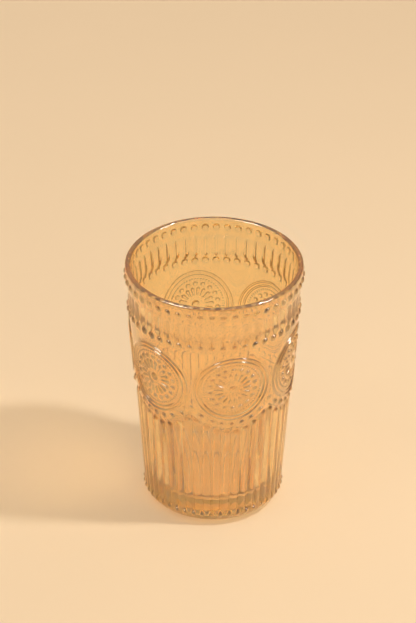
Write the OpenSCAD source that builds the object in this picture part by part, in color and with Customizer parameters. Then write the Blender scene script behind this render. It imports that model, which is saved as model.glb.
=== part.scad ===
// Pressed glass tumbler with beads, flutes and rosette medallions.
// Millimetres, +Z up. The origin is the middle of the foot, on the table.
// The glass is one pressing: each node is one named stretch or one relief of it,
// and all of them meet face to face on the same tapered wall.

/* [Body] */
// Outer diameter at the lip
rim_d = 84; // [78:0.5:92]
// Diameter that the plain wall would have at the table
foot_d = 65.7; // [62:0.5:72]
// Overall height
glass_h = 128.8; // [122:0.5:145]
// Thickness of the wall at the rounded lip
lip_t = 2.8; // [2.4:0.1:4]
// Thickness of the wall at the height of the cavity floor
wall_t = 4.2; // [3.4:0.1:6]

/* [Foot] */
// Height of the cavity floor above the table
floor_t = 12; // [8:0.5:16]
// Radius of the rounded corner between cavity floor and wall
corner_r = 6.5; // [4:0.5:9]
// Radius of the rounded heel
heel_r = 3.6; // [2.5:0.1:5]
// Width of the flat ring that the glass stands on
ring_w = 3; // [2:0.5:5]
// Depth of the hollow under the foot
hollow_h = 1.5; // [0.8:0.1:2.5]
// Width of the slope from the ring up into the hollow
hollow_slope = 3.5; // [2:0.5:6]
// Height of the plain band round the foot
foot_band_h = 8.4; // [7:0.2:10]

/* [Levels] */
// Upper bead row, down from the top
upper_row_drop = 5.8; // [5:0.1:6.5]
// Lower edge of the plain rim band, down from the top
rim_band_h = 10.1; // [9.4:0.1:11]
// Length of the upper fluted zone
flute_l = 10.8; // [9.6:0.2:12]
// Lower bead row, down from the upper fluted zone
lower_row_drop = 2.5; // [2.3:0.1:3.2]
// From the lower bead row down to the top of the medallions' outer ridge, at its middle
medallion_drop = 5.9; // [5:0.1:7]

/* [Pattern] */
// Medallions round the glass
medallion_count = 6; // [5:1:6]
// Bead pitches per medallion
pitches = 8; // [7:1:9]
// Depth of the fluted zones under the plain wall
flute_depth = 1.25; // [0.8:0.05:1.5]
// Height of a rib above the bottom of its fluted zone
rib_h = 0.7; // [0.5:0.05:0.8]
// Clearance between a rib's end and the edge of its zone
rib_gap = 0.3; // [0.2:0.1:0.6]
// Diameter of a bead in the two upper rows
bead_d = 3.8; // [3:0.1:4]
// Height of such a bead above the plain wall
bead_h = 0.65; // [0.5:0.05:0.8]
// Diameter of a bead on the heel
heel_bead_d = 1.9; // [1.4:0.1:2.4]
// Height of a bead on the heel
heel_bead_h = 0.4; // [0.3:0.05:0.6]
// Height of the heel beads above the table
heel_bead_z = 6.3; // [5.6:0.1:6.8]

/* [Swags] */
// Diameter of a bead in a swag
swag_bead_d = 2.7; // [2:0.1:3]
// Height of a bead in a swag above the plain wall
swag_bead_h = 0.55; // [0.4:0.05:0.8]
// From the outer ridge's middle down to the lowest bead of the swag
swag_drop = 3.1; // [2.8:0.1:3.5]
// Height of the swag's centre over the medallion's
swag_rise = 3.4; // [3:0.1:4]
// From the swag's bead centres out to the scalloped edge of the plain band
swag_edge = 1.9; // [1.6:0.1:2.2]
// Width of the flat notch between two scallops, at the bottom of the fluted zone
notch_w = 0.8; // [0.5:0.1:1.5]
// From the swag's curve straight down to the rib tips
rib_drop = 4.1; // [4:0.1:5]

/* [Medallion] */
// From the edge of the outer ridge to the line halfway to the next medallion
medallion_gap = 1.2; // [0.8:0.1:2]
// Width of a ridge
ridge_w = 1; // [0.8:0.1:1.2]
// Height of a ridge above the plain wall
ridge_h = 0.45; // [0.3:0.05:0.6]
// Distance between the two ridges, middle to middle
ridge_step = 2; // [1.6:0.1:2.2]
// From the inner ridge in to the ring of fine dots
dot_step = 2; // [1.8:0.1:2.2]
// Number of fine dots
dot_count = 60; // [48:1:66]
// Diameter of a fine dot
dot_d = 0.8; // [0.6:0.1:1]
// Diameter of a fine dot's flat top
dot_top_d = 0.4; // [0.3:0.1:0.6]
// Height of a fine dot above the plain wall
dot_h = 0.3; // [0.2:0.05:0.4]
// From the fine dots in to the ring of pearls
pearl_step = 2.55; // [2.4:0.05:2.7]
// Number of pearls, and of petals between them
pearl_count = 18; // [16:1:18]
// Diameter of a pearl
pearl_d = 2.3; // [2:0.1:2.5]
// Height of a pearl above the plain wall
pearl_h = 0.55; // [0.4:0.05:0.7]
// From the pearls in to the round heads of the petals
petal_step = 2.95; // [2.8:0.05:3.2]
// Diameter of a petal's head
petal_d = 1.6; // [1.3:0.1:1.9]
// Radius at which the petals come to a point
petal_tip_r = 3.3; // [3:0.1:4]
// Height of a petal above the plain wall
petal_h = 0.4; // [0.3:0.05:0.5]
// Diameter of the centre boss
boss_d = 4.2; // [3.6:0.1:4.6]
// Height of the centre boss above the plain wall
boss_h = 0.9; // [0.6:0.1:1.2]

/* [Hidden] */
$fn = 96;
// Overrun of every cut
over = 1;
rim_r = rim_d / 2;
foot_r = foot_d / 2;
lip_z = glass_h - lip_t / 2;
row_count = medallion_count * pitches;
pitch_a = 360 / row_count;
medallion_a = 360 / medallion_count;
// Slope of the plain wall, outwards for each unit of height
wall_slope = (rim_r - foot_r) / lip_z;
wall_lean = atan(wall_slope);
// Slope of the cavity's wall
cavity_r = foot_r + wall_slope * floor_t - wall_t;
cavity_slope = (rim_r - lip_t - cavity_r) / (lip_z - floor_t);
// Height at which the thick bottom ends and the wall begins
split_z = floor_t + corner_r;
// Levels of the rows and zones
upper_row_z = glass_h - upper_row_drop;
flute_top_z = glass_h - rim_band_h;
flute_low_z = flute_top_z - flute_l;
lower_row_z = flute_low_z - lower_row_drop;
ridge_top_z = lower_row_z - medallion_drop;
// Half the angle between two medallions, as the share of the wall's radius that it spans
half_share = sin(medallion_a / 2);
// Radius of the outer ridge, so that the medallions stand side by side round the wall at their own height
medallion_r = (wall_r(ridge_top_z) * half_share - ridge_w / 2 - medallion_gap) / (1 + wall_slope * half_share);
medallion_z = ridge_top_z - medallion_r;
dot_ring_r = medallion_r - ridge_step - dot_step;
pearl_ring_r = dot_ring_r - pearl_step;
petal_head_r = pearl_ring_r - petal_step;
// Circle of the bead swag that hangs round each medallion
swag_r = medallion_r + swag_drop + swag_rise;
swag_z = medallion_z + swag_rise;
// Radius of the scalloped edge round each swag, and the level of the flat notches between the scallops
edge_r = swag_r + swag_edge;
notch_half = core_r(medallion_z - medallion_r) * half_share - notch_w / 2;
notch_z = swag_z - sqrt(edge_r * edge_r - notch_half * notch_half);
// Share of its pitch that a rib takes
rib_share = 0.9;

// Radius of the plain wall and of the cavity at a height
function wall_r(z) = foot_r + wall_slope * z;
function inner_r(z) = cavity_r + cavity_slope * (z - floor_t);
// Radius of the bottom of the fluted zones
function core_r(z) = wall_r(z) - flute_depth;
// Radius of the sphere whose cap has this width and height
function cap_r(width, high) = (width * width / 4 + high * high) / (2 * high);
// Centre of a circle of radius r that rests on the level z and touches a wall of this slope,
// whose radius at that level is at_r; and the point where it touches the wall
function nest_x(at_r, slope, r) = at_r + slope * r - r * sqrt(1 + slope * slope);
function touch(at_r, slope, r, z) =
    [nest_x(at_r, slope, r) + r / sqrt(1 + slope * slope), z + r - r * slope / sqrt(1 + slope * slope)];
// Height of the swag's curve at an angle from the medallion's centre line
function swag_at(a, r) = swag_z - sqrt(r * r - pow(wall_r(medallion_z) * sin(a), 2));
// Half the width of a rib at a height
function rib_half(z) = rib_share * core_r(z) * sin(pitch_a / 2);

// Skin that lies on the wall, from one depth to another
module skin(deep, proud, low, high) {
    rotate_extrude()
        polygon([[wall_r(low) + deep, low], [wall_r(low) + proud, low],
            [wall_r(high) + proud, high], [wall_r(high) + deep, high]]);
}

// Copies of a thing round the glass, a whole or half pitch from the medallions' centre lines
module round_glass(count, first = 0) {
    for (i = [0 : count - 1])
        rotate([0, 0, (i + first) * 360 / count])
            children();
}

// Puts a thing that stands on the ground plane on the plain wall, facing -Y, moved sideways by x
module on_wall(z, x = 0) {
    rotate([0, 0, asin(x / wall_r(z))])
        translate([0, -wall_r(z), z])
            rotate([90 + wall_lean, 0, 0])
                children();
}

// Round bead: the cap of a sphere
module bead(width, high) {
    r = cap_r(width, high);
    rotate_extrude()
        intersection() {
            translate([0, high - r])
                circle(r = r);
            square([width, high + over]);
        }
}

// Row of beads round the glass, one in the middle of each pitch
module bead_row(width, high, z) {
    round_glass(row_count)
        on_wall(z)
            bead(width, high);
}

// Copies of a thing in a ring on the medallion that faces -Y, the first one straight up
module ring_on_medallion(count, ring_r) {
    for (i = [0 : count - 1])
        let (a = i * 360 / count)
            on_wall(medallion_z + ring_r * cos(a), ring_r * sin(a))
                children();
}

// Rib with round ends on the bottom of a fluted zone, tapering with its pitch
module rib(low, high) {
    z1 = low + rib_half(low);
    z2 = high - rib_half(high);
    r1 = cap_r(2 * rib_half(z1), rib_h);
    r2 = cap_r(2 * rib_half(z2), rib_h);
    run = (z2 - z1) / cos(wall_lean);
    axis_l = norm([r2 - r1, run]);
    translate([0, -core_r(z1), z1])
        rotate([wall_lean, 0, 0])
            difference() {
                translate([0, r1 - rib_h, 0])
                    rotate([-atan2(r2 - r1, run), 0, 0])
                        rotate_extrude()
                            intersection() {
                                union() {
                                    circle(r = r1);
                                    polygon([[0, 0], [r1, 0], [r2, axis_l], [0, axis_l]]);
                                    translate([0, axis_l])
                                        circle(r = r2);
                                }
                                translate([0, -r1 - over])
                                    square([r1 + r2, axis_l + r1 + r2 + 2 * over]);
                            }
                translate([-r1 - r2, 0, -r1 - over])
                    cube([2 * (r1 + r2), 2 * (r1 + r2), axis_l + r1 + r2 + 2 * over]);
            }
}

// Flat drawing projected onto the wall at every medallion, as relief of one height
module medallion_relief(proud, reach) {
    low = medallion_z - reach - over;
    high = medallion_z + reach + over;
    round_glass(medallion_count)
        intersection() {
            skin(0, proud, low, high);
            translate([0, 0, medallion_z])
                rotate([90, 0, 0])
                    linear_extrude(height = wall_r(high) + proud + over)
                        children();
        }
}

// Ring between two radii, drawn flat
module flat_ring(middle, width) {
    difference() {
        circle(r = middle + width / 2);
        circle(r = middle - width / 2);
    }
}

// Petal drawn flat: a round head and sides that run to a point
module flat_petal() {
    head = petal_d / 2;
    translate([0, petal_head_r])
        circle(r = head);
    polygon([[0, petal_tip_r], [head, petal_head_r], [-head, petal_head_r]]);
}

// Thick bottom: bearing ring, hollow underside, rounded heel, plain band and cavity corner
module base() {
    heel = touch(foot_r, wall_slope, heel_r, 0);
    heel_x = nest_x(foot_r, wall_slope, heel_r);
    corner = touch(cavity_r, cavity_slope, corner_r, floor_t);
    corner_x = nest_x(cavity_r, cavity_slope, corner_r);
    ring_in = heel_x - ring_w;
    color("peru")
        rotate_extrude()
            difference() {
                union() {
                    polygon([[0, hollow_h], [ring_in - hollow_slope, hollow_h], [ring_in, 0], [heel_x, 0],
                        heel, [wall_r(foot_band_h), foot_band_h], [core_r(foot_band_h), foot_band_h],
                        [core_r(split_z), split_z], [0, split_z]]);
                    translate([heel_x, heel_r])
                        circle(r = heel_r);
                }
                polygon([[0, floor_t], [corner_x, floor_t], corner, [inner_r(split_z + over), split_z + over],
                    [0, split_z + over]]);
                translate([corner_x, split_z])
                    circle(r = corner_r);
            }
}

// Tapered wall as thick as it is at the bottom of the flutes
module wall() {
    color("sandybrown")
        rotate_extrude()
            polygon([[inner_r(split_z), split_z], [core_r(split_z), split_z],
                [core_r(lip_z), lip_z], [inner_r(lip_z), lip_z]]);
}

// Rounded drinking edge
module lip() {
    lip_r = lip_t / 2;
    color("navajowhite")
        rotate_extrude()
            intersection() {
                translate([rim_r - lip_r, lip_z])
                    circle(r = lip_r);
                translate([rim_r - lip_t - over, lip_z])
                    square([lip_t + 2 * over, lip_t]);
            }
}

// Plain band under the lip
module rim_band() {
    color("burlywood")
        skin(-flute_depth, 0, flute_top_z, lip_z);
}

// Upper row of beads, on the rim band
module upper_beads() {
    color("orange")
        bead_row(bead_d, bead_h, upper_row_z);
}

// Ribs between the flutes of the upper zone
module upper_ribs() {
    color("chocolate")
        round_glass(row_count, 0.5)
            rib(flute_low_z + rib_gap, flute_top_z - rib_gap);
}

// Lower row of beads, one under each upper flute
module lower_beads() {
    color("orange")
        bead_row(bead_d, bead_h, lower_row_z);
}

// Plain band that carries the medallions
module medallion_band() {
    color("burlywood")
        skin(-flute_depth, 0, notch_z, flute_low_z);
}

// Round lower edge of that band under each medallion, which the beads of the swag follow
module swag_panels() {
    color("burlywood")
        round_glass(medallion_count)
            intersection() {
                skin(-flute_depth, 0, swag_z - edge_r - over, notch_z);
                translate([0, -foot_r / 2, swag_z])
                    rotate([90, 0, 0])
                        cylinder(h = rim_r, r = edge_r);
            }
}

// Two round ridges that frame each medallion
module medallion_ridges() {
    color("chocolate")
        medallion_relief(ridge_h, medallion_r + ridge_w) {
            flat_ring(medallion_r, ridge_w);
            flat_ring(medallion_r - ridge_step, ridge_w);
        }
}

// Ring of fine dots inside the ridges
module medallion_dots() {
    color("orange")
        round_glass(medallion_count)
            ring_on_medallion(dot_count, dot_ring_r)
                cylinder(h = dot_h, d1 = dot_d, d2 = dot_top_d);
}

// Ring of pearls inside the dots
module medallion_pearls() {
    color("orange")
        round_glass(medallion_count)
            ring_on_medallion(pearl_count, pearl_ring_r)
                bead(pearl_d, pearl_h);
}

// Petals of the rosette, between the pearls
module medallion_petals() {
    color("chocolate")
        medallion_relief(petal_h, petal_head_r + petal_d)
            for (i = [0 : pearl_count - 1])
                rotate((i + 0.5) * 360 / pearl_count)
                    flat_petal();
}

// Round boss in the middle of each medallion
module medallion_bosses() {
    color("orange")
        round_glass(medallion_count)
            on_wall(medallion_z)
                bead(boss_d, boss_h);
}

// Beads that hang in a swag round each medallion, the last one shared with its neighbour
module swag_beads() {
    color("orange")
        for (i = [0 : row_count - 1])
            let (a = i * pitch_a, near = a - medallion_a * round(a / medallion_a))
                rotate([0, 0, a])
                    on_wall(swag_at(near, swag_r))
                        bead(swag_bead_d, swag_bead_h);
}

// Ribs of the lower zone, their tips following the swags
module lower_ribs() {
    color("chocolate")
        for (i = [0 : row_count - 1])
            let (a = (i + 0.5) * pitch_a, near = a - medallion_a * round(a / medallion_a))
                rotate([0, 0, a])
                    rib(foot_band_h + rib_gap, swag_at(near, swag_r) - rib_drop);
}

// Small beads round the foot, one under each flute
module heel_beads() {
    color("orange")
        bead_row(heel_bead_d, heel_bead_h, heel_bead_z);
}

base();
wall();
lip();
rim_band();
upper_beads();
upper_ribs();
lower_beads();
medallion_band();
swag_panels();
medallion_ridges();
medallion_dots();
medallion_pearls();
medallion_petals();
medallion_bosses();
swag_beads();
lower_ribs();
heel_beads();
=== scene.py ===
# A highball tumbler of pressed amber glass, standing on pale peach paper.
import math

import bmesh
import bpy
import numpy as np
from mathutils import Matrix, Vector
from mathutils.geometry import delaunay_2d_cdt


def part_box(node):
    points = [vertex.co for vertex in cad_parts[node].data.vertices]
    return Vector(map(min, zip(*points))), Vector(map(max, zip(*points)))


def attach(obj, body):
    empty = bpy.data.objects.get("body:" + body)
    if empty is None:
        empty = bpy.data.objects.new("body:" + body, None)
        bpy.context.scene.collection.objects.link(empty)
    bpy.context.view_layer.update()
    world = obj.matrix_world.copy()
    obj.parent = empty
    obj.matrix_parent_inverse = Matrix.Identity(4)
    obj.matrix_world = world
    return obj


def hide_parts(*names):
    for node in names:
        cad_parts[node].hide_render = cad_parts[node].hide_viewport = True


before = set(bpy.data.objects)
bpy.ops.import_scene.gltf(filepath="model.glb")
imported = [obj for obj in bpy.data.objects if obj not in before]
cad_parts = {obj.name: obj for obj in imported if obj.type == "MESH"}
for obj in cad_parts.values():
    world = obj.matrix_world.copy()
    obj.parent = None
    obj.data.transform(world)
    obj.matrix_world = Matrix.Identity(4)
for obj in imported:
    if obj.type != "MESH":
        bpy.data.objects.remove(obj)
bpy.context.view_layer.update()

MM = 0.001


def box_mm(node):
    """The lowest and highest corners of a node, in millimetres."""
    low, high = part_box(node)
    return [v / MM for v in low], [v / MM for v in high]


def middle_z(node):
    low, high = box_mm(node)
    return (low[2] + high[2]) / 2


# The body of the glass, in millimetres. Its levels and its taper are read from the solids in the frame.
# What can't be read there has the value that they were drawn with.
lip_low, lip_high = box_mm("lip")
RIM_R = lip_high[0]
LIP_Z = lip_low[2]
LIP_R = lip_high[2] - LIP_Z
FOOT_BAND_Z = 8.4
WALL_SLOPE = (RIM_R - box_mm("base")[1][0]) / (LIP_Z - FOOT_BAND_Z)
FOOT_R = RIM_R - WALL_SLOPE * LIP_Z
WALL_T = 4.2
CORNER_R = 6.5
FLOOR_Z = box_mm("wall")[0][2] - CORNER_R

# The foot, in millimetres: a heel rounded wider than it is high, the ring that it stands on, and the hollow
# inside the ring. The pattern's mesh ends a little over the table, where the heel's own rows begin.
HEEL_W = 9.0
HEEL_H = 6.5
HEEL_LOW_Z = 1.2
RING_W = 3.0
HOLLOW_H = 1.5
HOLLOW_RUN = 3.5

# How the pattern repeats round the glass. Angles run from the front, which is at -Y, to the right.
MEDALLIONS = 6
PITCHES = 8
MEDALLION_A = math.radians(360 / MEDALLIONS)
PITCH_A = MEDALLION_A / PITCHES

# The bead rows, in millimetres
UPPER_ROW_Z = middle_z("upper_beads")
LOWER_ROW_Z = middle_z("lower_beads")
HEEL_ROW_Z = middle_z("heel_beads")
BEAD_D = 3.7
BEAD_H = 1.0
SWAG_BEAD_D = 2.8
SWAG_BEAD_H = 0.8
HEEL_BEAD_D = 2.3
HEEL_BEAD_H = 0.6

# The short flutes under the rim band, in millimetres
FLUTE_DEPTH = RIM_R - box_mm("wall")[1][0]
FLUTE_TOP_Z = box_mm("rim_band")[0][2]
FLUTE_TOP_ARCH = 0.6
FLUTE_TOP_RUN = 1.5
FLUTE_LOW_Z = box_mm("medallion_band")[1][2]
FLUTE_TIP = 1.4
FLUTE_END_H = 3.6
FLUTE_END_RUN = 3.8
CREST_DEPTH = 0.45
CREST_BEND = 0.8

# The swags of beads and the long ribs under them, in millimetres. A swag hangs round its medallion, as part
# of a circle with its middle a little over the medallion's.
MEDALLION_Z = middle_z("medallion_bosses")
OUTER_RIDGE_R = 17.7
SWAG_DROP = 3.1
SWAG_RISE = 3.4
SWAG_R = OUTER_RIDGE_R + SWAG_DROP + SWAG_RISE
SWAG_EDGE = 1.9
EDGE_R = SWAG_R + SWAG_EDGE
EDGE_RUN = 0.9
RIB_H = 1.15
RIB_DROP = 4.1
FOOT_BAND_SWING = 1.4
FOOT_BAND_RUN = 2.2

# The medallion from its two ridges in to its boss, in millimetres
RIDGE_STEP = 2.0
RIDGE_RADII = (OUTER_RIDGE_R, OUTER_RIDGE_R - RIDGE_STEP)
RIDGE_W = 1.25
RIDGE_H = 0.75
RIDGE_BEND = 1.5
DOTS = 60
DOT_STEP = 2.0
DOT_RING_R = OUTER_RIDGE_R - RIDGE_STEP - DOT_STEP
DOT_D = 0.9
DOT_H = 0.35
PEARLS = 18
PEARL_STEP = 2.55
PEARL_RING_R = DOT_RING_R - PEARL_STEP
PEARL_D = 2.3
PEARL_H = 0.85
PETAL_HEAD_R = 8.2
PETAL_TIP_R = 3.3
PETAL_D = 1.6
PETAL_H = 0.7
BOSS_D = 4.2
BOSS_H = 1.1

# How finely the mesh follows it: counts, and steps in millimetres. The rows of the plain wall make even
# triangles. Below the ribs' tips the flutes run straight down, so their rows lie far apart.
COLUMNS_PER_PITCH = 12
EDGE_COLUMNS = 4 * PITCHES * MEDALLIONS
RIDGE_POINTS = 150
SWAG_EDGE_POINTS = 97
PLAIN_STEP = 1.35
PLAIN_ROW_STEP = PLAIN_STEP * 0.87
FLUTE_ROW_STEP = 0.55
TIP_ROW_STEP = 0.6
STRAIGHT_ROW_STEP = 3.5
FOOT_ROW_STEP = 0.5
TIPS_LOW_Z = 50

# The swag's edge is laid out on the wall's radius 3 mm over the edge's lowest point
SWAG_MID_Z = MEDALLION_Z + SWAG_RISE - EDGE_R + 3

# How far out, in radii, the last ring of mesh points round a bead lies
JUST_OUTSIDE = 1.07


def wall_r(z):
    return FOOT_R + WALL_SLOPE * z


def body_r(z):
    """Radius of the glass without its pattern: the cone, and the rounded heel under it."""
    drop = np.clip((HEEL_H - z) / HEEL_H, 0, 1)
    return wall_r(np.maximum(z, HEEL_H)) - HEEL_W * (1 - np.sqrt(1 - drop * drop))


def smooth_step(t):
    t = np.clip(t, 0, 1)
    return t * t * (3 - 2 * t)


def cap(distance, width, high):
    """Height of a sphere's cap at a distance from its middle."""
    r = (width * width / 4 + high * high) / (2 * high)
    return np.maximum(np.sqrt(np.maximum(r * r - distance * distance, 0)) - (r - high), 0)


def nearest(a, step, first=0.0):
    """The angle of the nearest copy of a thing that repeats at each step."""
    return (np.round(a / step - first) + first) * step


def swag_z(a):
    """Height of the swag's curve at an angle round the glass."""
    x = wall_r(MEDALLION_Z) * np.sin(a - nearest(a, MEDALLION_A))
    return MEDALLION_Z + SWAG_RISE - np.sqrt(SWAG_R ** 2 - x * x)


def row_relief(a, z, row_z, width, high):
    """Height of a level row of beads, one to each pitch."""
    x = (a - nearest(a, PITCH_A)) * wall_r(z)
    return cap(np.hypot(x, z - row_z), width, high)


def swag_relief(a, z):
    """Height of the beads that hang in a curve under each medallion."""
    bead_a = nearest(a, PITCH_A)
    return cap(np.hypot((a - bead_a) * wall_r(z), z - swag_z(bead_a)), SWAG_BEAD_D, SWAG_BEAD_H)


def ridge_relief(rho, ring_r):
    """Height of one of the two round ridges that frame a medallion."""
    across = np.clip((rho - ring_r) / RIDGE_W, -0.5, 0.5)
    return RIDGE_H * np.cos(across * math.pi) ** RIDGE_BEND


def ring_relief(rho, turn, ring_r, count, width, high):
    """Height of a ring of dots or pearls."""
    off = turn - nearest(turn, math.tau / count)
    return cap(np.hypot(rho * np.sin(off), rho * np.cos(off) - ring_r), width, high)


def petal_relief(rho, turn):
    """Height of the petals: teardrops that point at the boss, one between each two pearls."""
    off = turn - nearest(turn, math.tau / PEARLS, 0.5)
    across, along = rho * np.sin(off), rho * np.cos(off)
    length = PETAL_HEAD_R - PETAL_TIP_R
    share = np.clip((along - PETAL_TIP_R) / length, 0.001, 1)
    aside = np.hypot(across, along - PETAL_TIP_R - share * length)
    petal = np.sqrt(np.maximum(1 - (aside / (share * PETAL_D / 2)) ** 2, 0)) * np.sqrt(share)
    return PETAL_H * petal


def medallion_relief(a, z):
    """Ridges, dots, pearls, petals and boss of the medallion, drawn flat and projected onto the wall."""
    x = wall_r(z) * np.sin(a - nearest(a, MEDALLION_A))
    y = z - MEDALLION_Z
    rho = np.hypot(x, y)
    turn = np.arctan2(x, y)
    out = cap(rho, BOSS_D, BOSS_H)
    for ring_r in RIDGE_RADII:
        out = np.maximum(out, ridge_relief(rho, ring_r))
    out = np.maximum(out, ring_relief(rho, turn, DOT_RING_R, DOTS, DOT_D, DOT_H))
    out = np.maximum(out, ring_relief(rho, turn, PEARL_RING_R, PEARLS, PEARL_D, PEARL_H))
    return np.maximum(out, petal_relief(rho, turn))


def upper_flutes(a, z):
    """Depth of the short round-ended flutes, one over each bead of the lower row."""
    off = (a - nearest(a, PITCH_A)) / PITCH_A
    aside = (a - nearest(a, PITCH_A, 0.5)) / PITCH_A * 2
    crest = np.clip(1 - aside ** 2, 0, 1) ** CREST_BEND
    low = FLUTE_LOW_Z - FLUTE_TIP + FLUTE_END_H * (1 - np.sqrt(np.clip(1 - (2 * off) ** 2, 0, 1)))
    top = FLUTE_TOP_Z + FLUTE_TOP_ARCH * (1 - crest)
    depth = FLUTE_DEPTH - (FLUTE_DEPTH - CREST_DEPTH) * crest
    return depth * smooth_step((z - low) / FLUTE_END_RUN) * smooth_step((top - z) / FLUTE_TOP_RUN)


def lower_flutes(a, z):
    """Depth of the long flutes under the swags, with a round-tipped rib between each two of them."""
    x = wall_r(z) * np.sin(a - nearest(a, MEDALLION_A))
    y = z - MEDALLION_Z - SWAG_RISE
    below = smooth_step((np.hypot(x, np.minimum(y, 0)) - EDGE_R) / EDGE_RUN + 0.5)
    rib_a = nearest(a, PITCH_A, 0.5)
    half = PITCH_A * (wall_r(z) - FLUTE_DEPTH) / 2
    tip_z = swag_z(rib_a) - RIB_DROP - half
    across = (a - rib_a) / PITCH_A * 2 * half
    rib = cap(np.hypot(across, np.maximum(z - tip_z, 0)), 2 * half, RIB_H)
    valley = np.abs(across) / half
    foot = smooth_step((z - FOOT_BAND_Z + FOOT_BAND_SWING * (valley - 0.5)) / FOOT_BAND_RUN + 0.5)
    return below * foot * (FLUTE_DEPTH - rib)


def outer_r(a, z):
    """Radius of the glass's outside at an angle and a height."""
    proud = np.maximum(swag_relief(a, z), medallion_relief(a, z))
    proud = np.maximum(proud, row_relief(a, z, UPPER_ROW_Z, BEAD_D, BEAD_H))
    proud = np.maximum(proud, row_relief(a, z, LOWER_ROW_Z, BEAD_D, BEAD_H))
    proud = np.maximum(proud, row_relief(a, z, HEEL_ROW_Z, HEEL_BEAD_D, HEEL_BEAD_H))
    return body_r(z) + proud - upper_flutes(a, z) - lower_flutes(a, z)


def ring_share(i, rings, ease):
    """How far out, in radii, a ring of a bead's points lies: closer together towards the edge."""
    return JUST_OUTSIDE if i == rings else math.sin(math.pi / 2 * i / (rings - ease))


class Points:
    """Mesh points of one medallion's share of the wall, as angle and height."""

    def __init__(self):
        self.a = np.zeros(0)
        self.z = np.zeros(0)

    def add(self, a, z, gap=0.0):
        """Adds the points that lie in the share and keep the gap, in millimetres, to all earlier ones."""
        a, z = np.broadcast_arrays(np.asarray(a, float), np.asarray(z, float))
        a, z = a.ravel(), z.ravel()
        keep = (np.abs(a) <= MEDALLION_A / 2 + 1e-7) & (z >= HEEL_LOW_Z - 1e-7) & (z <= LIP_Z + 1e-7)
        a, z = a[keep], z[keep]
        if gap > 0 and len(self.a):
            r = wall_r(MEDALLION_Z)
            near = np.zeros(len(a), bool)
            for part in np.array_split(np.arange(len(self.a)), 1 + len(self.a) // 2000):
                d2 = (r * (a[:, None] - self.a[part])) ** 2 + (z[:, None] - self.z[part]) ** 2
                near |= (d2 < gap * gap).any(axis=1)
            a, z = a[~near], z[~near]
        self.a = np.append(self.a, a)
        self.z = np.append(self.z, z)

    def add_bead(self, a, z, width, rings=5):
        """Rings of points from the middle of a bead to just outside it."""
        self.add(a, z)
        for i in range(1, rings + 1):
            rho = width / 2 * ring_share(i, rings, 0.6)
            turn = np.arange(4 + 4 * i) * math.tau / (4 + 4 * i)
            height = z + rho * np.cos(turn)
            self.add(a + rho * np.sin(turn) / wall_r(height), height)

    def add_flat(self, x, y, gap=0.0):
        """Points drawn flat about the medallion's middle."""
        z = MEDALLION_Z + np.asarray(y, float)
        self.add(np.arcsin(np.asarray(x, float) / wall_r(z)), z, gap)

    def add_turned(self, turn, across, up, gap=0.0):
        """Points drawn beside and along a line from the medallion's middle, which is turned."""
        x = up * math.sin(turn) + across * math.cos(turn)
        y = up * math.cos(turn) - across * math.sin(turn)
        self.add_flat(x, y, gap)

    def add_ring(self, rho, count):
        turn = np.arange(count) * math.tau / count
        self.add_flat(rho * np.sin(turn), rho * np.cos(turn))

    def add_on_ring(self, ring_r, count, width, rings):
        """The points of each dot or pearl of a ring."""
        for k in range(count):
            turn = k * math.tau / count
            z = MEDALLION_Z + ring_r * math.cos(turn)
            self.add_bead(math.asin(ring_r * math.sin(turn) / wall_r(z)), z, width, rings)


def add_petal(points, turn):
    """Rows of points along a petal, only the middle one where it is narrow, and fans round its head."""
    along = np.linspace(PETAL_TIP_R - 0.2, PETAL_HEAD_R, 8)
    share = (along - PETAL_TIP_R) / (PETAL_HEAD_R - PETAL_TIP_R)
    wide = share * PETAL_D > 0.6
    for side in (-1.1, -0.85, -0.45, 0, 0.45, 0.85, 1.1):
        used = wide | (side == 0)
        points.add_turned(turn, side * PETAL_D / 2 * share[used], along[used])
    for rho, count in ((0.45, 3), (0.8, 5), (1.1, 7)):
        fan = (np.arange(count) + 0.5) / count * math.pi - math.pi / 2
        reach = PETAL_D / 2 * rho
        points.add_turned(turn, reach * np.sin(fan), PETAL_HEAD_R + reach * np.cos(fan), gap=0.1)


def add_medallion(points):
    """Points of the boss, the petals, the pearls, the dots and the two ridges."""
    points.add_ring(0, 1)
    boss_rings = 4
    for i in range(1, boss_rings + 1):
        points.add_ring(BOSS_D / 2 * ring_share(i, boss_rings, 0.5), 6 + 6 * i)
    for k in range(PEARLS):
        add_petal(points, (k + 0.5) * math.tau / PEARLS)
    points.add_on_ring(PEARL_RING_R, PEARLS, PEARL_D, 4)
    points.add_on_ring(DOT_RING_R, DOTS, DOT_D, 2)
    for ring_r in RIDGE_RADII:
        for share in (-0.56, -0.4, -0.22, 0, 0.22, 0.4, 0.56):
            points.add_ring(ring_r + share * RIDGE_W, RIDGE_POINTS)


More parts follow.
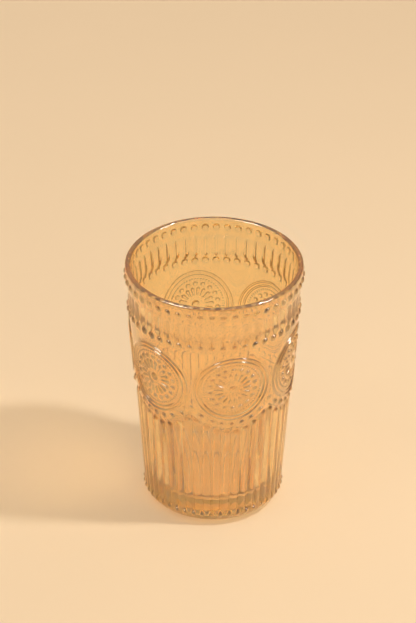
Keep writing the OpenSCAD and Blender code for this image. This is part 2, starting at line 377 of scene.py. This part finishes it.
def add_flutes(points):
    """Points of both fluted zones and of the swag's edge between them."""
    columns = PITCHES * COLUMNS_PER_PITCH
    a = (np.arange(columns + 1) / columns - 0.5) * MEDALLION_A
    edge_a = np.linspace(-MEDALLION_A / 2, MEDALLION_A / 2, SWAG_EDGE_POINTS)
    x = wall_r(SWAG_MID_Z) * np.sin(edge_a)
    for off in (-0.5, -0.2, 0.1, 0.45):
        points.add(edge_a, MEDALLION_Z + SWAG_RISE - np.sqrt((EDGE_R + off) ** 2 - x * x), gap=0.2)
    for z in np.arange(FLUTE_LOW_Z, FLUTE_TOP_Z + 1.2, FLUTE_ROW_STEP):
        points.add(a, z, gap=0.3)
    for z in np.arange(FOOT_BAND_Z - 2, FOOT_BAND_Z + 3, FOOT_ROW_STEP):
        points.add(a, z, gap=0.25)
    for z in np.arange(FOOT_BAND_Z + 5, TIPS_LOW_Z, STRAIGHT_ROW_STEP):
        points.add(a, z, gap=0.25)
    for z in np.arange(TIPS_LOW_Z + 0.5, SWAG_MID_Z + 8, TIP_ROW_STEP):
        x = wall_r(z) * np.sin(a)
        fluted = np.hypot(x, z - MEDALLION_Z - SWAG_RISE) > EDGE_R + 0.5
        points.add(a[fluted], z, gap=0.3)


def add_plain(points):
    """An even field of points where the wall has no flutes."""
    for i, z in enumerate(np.arange(HEEL_LOW_Z + 0.6, LIP_Z, PLAIN_ROW_STEP)):
        columns = np.arange(-40, 41) + (0.5 if i % 2 else 0)
        a = columns * PLAIN_STEP / wall_r(MEDALLION_Z)
        a = np.append(a[np.abs(a) < MEDALLION_A / 2 - 0.01], [-MEDALLION_A / 2, MEDALLION_A / 2])
        reach = np.hypot(wall_r(z) * np.sin(a), min(z - MEDALLION_Z - SWAG_RISE, 0))
        fluted = (reach > EDGE_R) & (z > FOOT_BAND_Z - 1)
        points.add(a[~fluted], z, gap=0.55)


def wall_points():
    """All points of the wall round one medallion. The order counts, as later ones keep off earlier ones."""
    points = Points()
    edge = np.linspace(-MEDALLION_A / 2, MEDALLION_A / 2, EDGE_COLUMNS // MEDALLIONS + 1)
    points.add(edge, LIP_Z)
    points.add(edge, HEEL_LOW_Z)
    for k in range(-PITCHES // 2, PITCHES // 2 + 1):
        a = k * PITCH_A
        points.add_bead(a, UPPER_ROW_Z, BEAD_D)
        points.add_bead(a, LOWER_ROW_Z, BEAD_D)
        points.add_bead(a, float(swag_z(a)), SWAG_BEAD_D)
        points.add_bead(a, HEEL_ROW_Z, HEEL_BEAD_D, 4)
    add_medallion(points)
    add_flutes(points)
    add_plain(points)
    return points


def matched_sides(points):
    """Gives both sides of the share the same heights, so that its copies meet point to point."""
    side = MEDALLION_A / 2
    inner = np.abs(points.a) < side - 1e-6
    right = np.unique(np.round(points.z[points.a >= side - 1e-6], 6))
    a = np.concatenate([points.a[inner], np.full(len(right), side), np.full(len(right), -side)])
    return a, np.concatenate([points.z[inner], right, right])


def wall_share():
    """Vertices, as angle and height, and triangles of the wall round one medallion."""
    a, z = matched_sides(wall_points())
    flat = [Vector((u, v)) for u, v in zip(a * wall_r(MEDALLION_Z), z)]
    verts, _, faces, _, _, _ = delaunay_2d_cdt(flat, [], [], 0, 1e-5)
    a = np.array([v.x for v in verts]) / wall_r(MEDALLION_Z)
    z = np.array([v.y for v in verts])
    return a, z, faces


def arc(x, z, r, first, last, steps):
    """Points on a circle, from one angle to another, both in degrees."""
    turns = np.radians(np.linspace(first, last, steps + 1))
    return [(x + r * math.cos(t), z + r * math.sin(t)) for t in turns]


def circle_touch(at_r, slope, r, low):
    """Fits a circle on a level and against a sloping wall, from inside.

    Gives how far out its middle lies, and the height at which it touches the wall.
    """
    lean = math.sqrt(1 + slope * slope)
    return at_r + slope * r - r * lean, low + r - r * slope / lean


def inside_outline():
    """The profile from the outer edge of the lip, down the cavity and back out under the foot."""
    cavity_r = wall_r(FLOOR_Z) - WALL_T
    slope = (RIM_R - 2 * LIP_R - cavity_r) / (LIP_Z - FLOOR_Z)
    lean = math.degrees(math.atan(slope))
    corner_x, touch_z = circle_touch(cavity_r, slope, CORNER_R, FLOOR_Z)
    ring_out = float(wall_r(HEEL_H)) - HEEL_W
    ring_in = ring_out - RING_W
    line = arc(RIM_R - LIP_R, LIP_Z, LIP_R, 0, 180, 14)
    line += [(cavity_r + slope * (z - FLOOR_Z), z) for z in np.linspace(LIP_Z, touch_z, 15)[1:-1]]
    line += arc(corner_x, FLOOR_Z + CORNER_R, CORNER_R, -lean, -90, 10)
    line += [(corner_x * share, FLOOR_Z) for share in (0.8, 0.55, 0.3, 0.1, 0)]
    line += [((ring_in - HOLLOW_RUN) * share, HOLLOW_H) for share in (0, 0.1, 0.4, 0.7, 0.9)]
    for share in np.linspace(0, 1, 9):
        line.append((ring_in - HOLLOW_RUN * (1 - share), HOLLOW_H * (1 - float(smooth_step(share)))))
    line.append((ring_out - RING_W / 2, 0))
    line += [(float(body_r(z)), float(z)) for z in np.linspace(0, HEEL_LOW_Z, 9)]
    return line


def glass_mesh():
    """One closed skin: the patterned wall, the lip, the cavity and the underside."""
    verts, faces = [], []
    a, z, share = wall_share()
    r = outer_r(a, z)
    for k in range(MEDALLIONS):
        turned = a + k * MEDALLION_A
        first = len(verts)
        verts += zip(r * np.sin(turned) * MM, -r * np.cos(turned) * MM, z * MM)
        faces += [[first + i for i in face] for face in share]
    turns = np.arange(EDGE_COLUMNS) / EDGE_COLUMNS * math.tau
    rows = []
    for x, height in inside_outline():
        first = len(verts)
        if x == 0:
            verts.append((0, 0, height * MM))
            rows.append([first] * EDGE_COLUMNS)
        else:
            verts += zip(x * np.sin(turns) * MM, -x * np.cos(turns) * MM, np.full(EDGE_COLUMNS, height * MM))
            rows.append(list(range(first, first + EDGE_COLUMNS)))
    for above, below in zip(rows, rows[1:]):
        on_axis = above[0] == above[1] and below[0] == below[1]
        for i in range(0 if on_axis else EDGE_COLUMNS):
            j = (i + 1) % EDGE_COLUMNS
            faces.append(list(dict.fromkeys([above[i], above[j], below[j], below[i]])))
    mesh = bpy.data.meshes.new("glass")
    mesh.from_pydata([tuple(map(float, v)) for v in verts], [], faces)
    bm = bmesh.new()
    bm.from_mesh(mesh)
    bmesh.ops.remove_doubles(bm, verts=bm.verts, dist=0.002 * MM)
    bmesh.ops.recalc_face_normals(bm, faces=bm.faces)
    for face in bm.faces:
        face.smooth = True
    bm.to_mesh(mesh)
    bm.free()
    return mesh


def colour(hex_code):
    """Linear colour of an sRGB hex value."""
    parts = [int(hex_code[i:i + 2], 16) / 255 for i in (1, 3, 5)]
    return [p / 12.92 if p <= 0.04045 else ((p + 0.055) / 1.055) ** 2.4 for p in parts] + [1.0]


def add_node(tree, kind, settings=None, links=None):
    """Adds a node, sets its sockets and properties, and links its sockets to outputs of other nodes."""
    node = tree.nodes.new(kind)
    for name, value in (settings or {}).items():
        if isinstance(name, int) or name in node.inputs:
            node.inputs[name].default_value = value
        else:
            setattr(node, name, value)
    for name, output in (links or {}).items():
        tree.links.new(output, node.inputs[name])
    return node


def new_material(name):
    material = bpy.data.materials.new(name)
    material.use_nodes = True
    material.node_tree.nodes.clear()
    return material


# The numbers of a colour Mix node's sockets
MIX_SHARE = 0
MIX_A = 6
MIX_B = 7
MIX_RESULT = 2

# The materials' patterns, in metres. The lustre is patchy over 2 cm or so, and the mould's chill leaves waves
# of some millimetres. The paper's fibres are too fine to show, so they are drawn far coarser, as clouds.
LUSTRE_CLOUD = 22 * MM
MOULD_WAVE = 7 * MM
MOULD_WAVE_DEPTH = 0.12 * MM
FIBRE_CLOUD = 60 * MM


def pressed_glass():
    """Soda-lime glass, amber in the melt, pressed hot in a mould and fired with a thin metal lustre.

    The amber deepens where light goes a long way through it, as in the foot. The lustre is a clear coat with
    a high index: it gives beads and ridges their strong gleams and warms what shines through. The lustre's
    clouds and the mould's waves keep the plain bands from looking like clear plastic.
    """
    material = new_material("amber pressed glass with a thin lustre")
    tree = material.node_tree
    place = add_node(tree, "ShaderNodeTexCoord")
    clouds = add_node(tree, "ShaderNodeTexNoise",
                      {"Scale": 1 / LUSTRE_CLOUD, "Detail": 2.0},
                      {"Vector": place.outputs["Object"]})
    tone = add_node(tree, "ShaderNodeMix",
                    {"data_type": "RGBA", MIX_A: colour("#FFF5DF"), MIX_B: colour("#FFEECB")},
                    {MIX_SHARE: clouds.outputs["Fac"]})
    waves = add_node(tree, "ShaderNodeTexNoise",
                     {"Scale": 1 / MOULD_WAVE, "Detail": 1.0},
                     {"Vector": place.outputs["Object"]})
    bump = add_node(tree, "ShaderNodeBump",
                    {"Strength": 0.35, "Distance": MOULD_WAVE_DEPTH},
                    {"Height": waves.outputs["Fac"]})
    skin = add_node(tree, "ShaderNodeBsdfPrincipled",
                    {"IOR": 1.5, "Transmission Weight": 1.0, "Roughness": 0.02, "Coat Weight": 1.0,
                     "Coat IOR": 2.2, "Coat Roughness": 0.03, "Coat Tint": colour("#FFFBF2")},
                    {"Base Color": tone.outputs[MIX_RESULT], "Normal": bump.outputs[0]})
    # Rays to a lamp go through each skin with a loss, which gives the glass its soft brown shadow
    path = add_node(tree, "ShaderNodeLightPath")
    clear = add_node(tree, "ShaderNodeBsdfTransparent", {"Color": colour("#B2A892")})
    surface = add_node(tree, "ShaderNodeMixShader", {},
                       {0: path.outputs["Is Shadow Ray"], 1: skin.outputs[0], 2: clear.outputs[0]})
    body = add_node(tree, "ShaderNodeVolumeAbsorption", {"Color": colour("#FDEFA2"), "Density": 50.0})
    add_node(tree, "ShaderNodeOutputMaterial", {}, {"Surface": surface.outputs[0], "Volume": body.outputs[0]})
    return material


def backdrop_paper():
    """Uncoated paper, dyed peach in the pulp: matt and without gleams, its fibres a barely uneven tone."""
    material = new_material("matt peach paper")
    tree = material.node_tree
    place = add_node(tree, "ShaderNodeTexCoord")
    fibres = add_node(tree, "ShaderNodeTexNoise",
                      {"Scale": 1 / FIBRE_CLOUD, "Detail": 4.0},
                      {"Vector": place.outputs["Object"]})
    tone = add_node(tree, "ShaderNodeMix",
                    {"data_type": "RGBA", MIX_A: colour("#F2D3AA"), MIX_B: colour("#F4D4AB")},
                    {MIX_SHARE: fibres.outputs["Fac"]})
    surface = add_node(tree, "ShaderNodeBsdfPrincipled",
                       {"Roughness": 0.9, "Specular IOR Level": 0.2},
                       {"Base Color": tone.outputs[MIX_RESULT]})
    add_node(tree, "ShaderNodeOutputMaterial", {}, {"Surface": surface.outputs[0]})
    return material


def make_glass():
    glass = bpy.data.objects.new("tumbler", glass_mesh())
    bpy.context.scene.collection.objects.link(glass)
    glass.data.materials.append(pressed_glass())
    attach(glass, "root")
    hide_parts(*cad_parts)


# The paper under the glass, in metres: a hair lower than the ring that it stands on
PAPER_HALF = 2.5
PAPER_Z = -0.02 * MM


def make_floor():
    corners = [(x * PAPER_HALF, y * PAPER_HALF, PAPER_Z) for x, y in ((-1, -1), (1, -1), (1, 1), (-1, 1))]
    mesh = bpy.data.meshes.new("floor")
    mesh.from_pydata(corners, [], [(0, 1, 2, 3)])
    floor = bpy.data.objects.new("floor", mesh)
    bpy.context.scene.collection.objects.link(floor)
    mesh.materials.append(backdrop_paper())


# The photograph's view, in radians and metres: from above, and somewhat to one side of the front medallion.
# The picture is higher than wide, so the sensor's size goes with its height, in pixels.
VIEW_A = math.radians(-13.6)
VIEW_UP = 0.568
VIEW_DISTANCE = 1.6073
AIM_RIGHT = -2.83 * MM
AIM_UP = 101.02 * MM
VIEW_ROLL = 0.0049
PHOTO_H = 623
FOCAL_PX = 3400
SENSOR = 36


def seen(right, away, up):
    """A place in metres, given as the camera sees it: to the right, away from it and up."""
    return Vector((right * math.cos(VIEW_A) - away * math.sin(VIEW_A),
                   right * math.sin(VIEW_A) + away * math.cos(VIEW_A), up))


def make_camera():
    camera = bpy.data.objects.new("camera", bpy.data.cameras.new("camera"))
    bpy.context.scene.collection.objects.link(camera)
    camera.data.sensor_width = SENSOR
    camera.data.lens = FOCAL_PX * SENSOR / PHOTO_H
    camera.data.clip_end = 20
    aim = seen(AIM_RIGHT, 0, AIM_UP)
    camera.location = aim + seen(0, -VIEW_DISTANCE * math.cos(VIEW_UP), VIEW_DISTANCE * math.sin(VIEW_UP))
    turn = (aim - camera.location).to_track_quat("-Z", "Y").to_matrix()
    camera.rotation_euler = (turn @ Matrix.Rotation(VIEW_ROLL, 3, "Z")).to_euler()
    bpy.context.scene.camera = camera


def softbox(name, place, size, power, tint="#FFFFFF", casts=True, shows=True, gloss_only=False):
    """A soft light that faces the middle of the glass.

    It can cast no shadow, not show in or through the glass, or show only as a gleam on it.
    """
    light = bpy.data.lights.new(name, "AREA")
    light.shape = "RECTANGLE"
    light.size = size
    light.size_y = size
    light.energy = power
    light.color = colour(tint)[:3]
    light.use_shadow = casts
    lamp = bpy.data.objects.new(name, light)
    bpy.context.scene.collection.objects.link(lamp)
    lamp.location = place
    lamp.visible_diffuse = not gloss_only
    lamp.visible_glossy = shows
    lamp.visible_transmission = shows and not gloss_only
    lamp.rotation_euler = (Vector((0, 0, 60 * MM)) - lamp.location).to_track_quat("-Z", "Y").to_euler()


def make_lamps():
    """Three wide lamps fill, the small one on the right throws the shadow, and the last only adds gleams."""
    softbox("light_left", seen(-1.06, -0.61, 1.58), 0.8, 9, casts=False)
    softbox("light_front", seen(0.3, -3.0, 2.6), 1.6, 10, shows=False)
    softbox("light_back", seen(-0.6, 1.6, 1.4), 0.8, 9, casts=False, shows=False)
    softbox("light_right", seen(0.486, -0.114, 0.806), 0.06, 3.5)
    softbox("light_side", seen(1.3, -0.4, 1.0), 0.35, 4.5, "#F6F2FF", casts=False, gloss_only=True)


def make_studio():
    """Room light that is pale overhead, and dimmer and warmer towards the horizon."""
    world = bpy.data.worlds.new("studio")
    world.use_nodes = True
    tree = world.node_tree
    tree.nodes.clear()
    place = add_node(tree, "ShaderNodeTexCoord")
    up = add_node(tree, "ShaderNodeSeparateXYZ", {}, {"Vector": place.outputs["Generated"]})
    glow = add_node(tree, "ShaderNodeMapRange",
                    {"To Min": 0.2, "To Max": 0.49},
                    {"Value": up.outputs["Z"]})
    height = add_node(tree, "ShaderNodeMapRange",
                      {"From Min": 0.0, "From Max": 0.4},
                      {"Value": up.outputs["Z"]})
    tint = add_node(tree, "ShaderNodeMix",
                    {"data_type": "RGBA", MIX_A: colour("#C97850"), MIX_B: colour("#FFFAF4")},
                    {MIX_SHARE: height.outputs[0]})
    sky = add_node(tree, "ShaderNodeBackground", {},
                   {"Color": tint.outputs[MIX_RESULT], "Strength": glow.outputs[0]})
    add_node(tree, "ShaderNodeOutputWorld", {}, {"Surface": sky.outputs[0]})
    bpy.context.scene.world = world


def allow_long_paths():
    """Light turns many times inside the pressed foot: with fewer turns its facets come out black."""
    cycles = bpy.context.scene.cycles
    cycles.max_bounces = 24
    cycles.glossy_bounces = 16
    cycles.transmission_bounces = 24


make_glass()
make_floor()
make_camera()
make_lamps()
make_studio()
allow_long_paths()
bpy.context.scene.view_settings.view_transform = "Standard"
